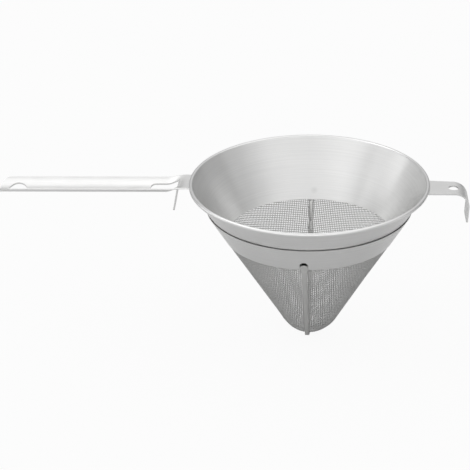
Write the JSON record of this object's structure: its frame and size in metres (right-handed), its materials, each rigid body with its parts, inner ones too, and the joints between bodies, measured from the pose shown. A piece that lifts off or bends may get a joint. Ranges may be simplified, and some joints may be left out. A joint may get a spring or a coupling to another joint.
{
  "type": "chinois strainer",
  "caption": "Conical steel chinois with a woven wire cone, crossed guard straps, a gutter-shaped handle with a pot-rest tongue, and a rest hook.",
  "frame": {"origin": "on the cone's axis, in the plane of the rim bead's centre", "axes": "+Z out of the bowl's mouth, -X along the handle, +X towards the rest hook"},
  "size_m": [0.3929, 0.2, 0.1397],
  "materials": {
    "bowl_sheet": "brushed round the axis inside, bright at the bead",
    "plain_wire": "drawn wire",
    "band_sheet": "satin, brushed round the axis",
    "wire_cloth": "fine woven wire",
    "guard_strap": "satin",
    "pressed_strap": "fine satin"
  },
  "bodies": {
    "root": {"bowl_cone": "bowl_sheet", "rim_wire": "plain_wire", "mesh_band": "band_sheet", "mesh_cone": "wire_cloth", "guard_strap_side_to_side": "guard_strap", "guard_strap_front_back": "guard_strap", "handle": "pressed_strap", "rest_hook": "pressed_strap"}
  },
  "joints": []
}
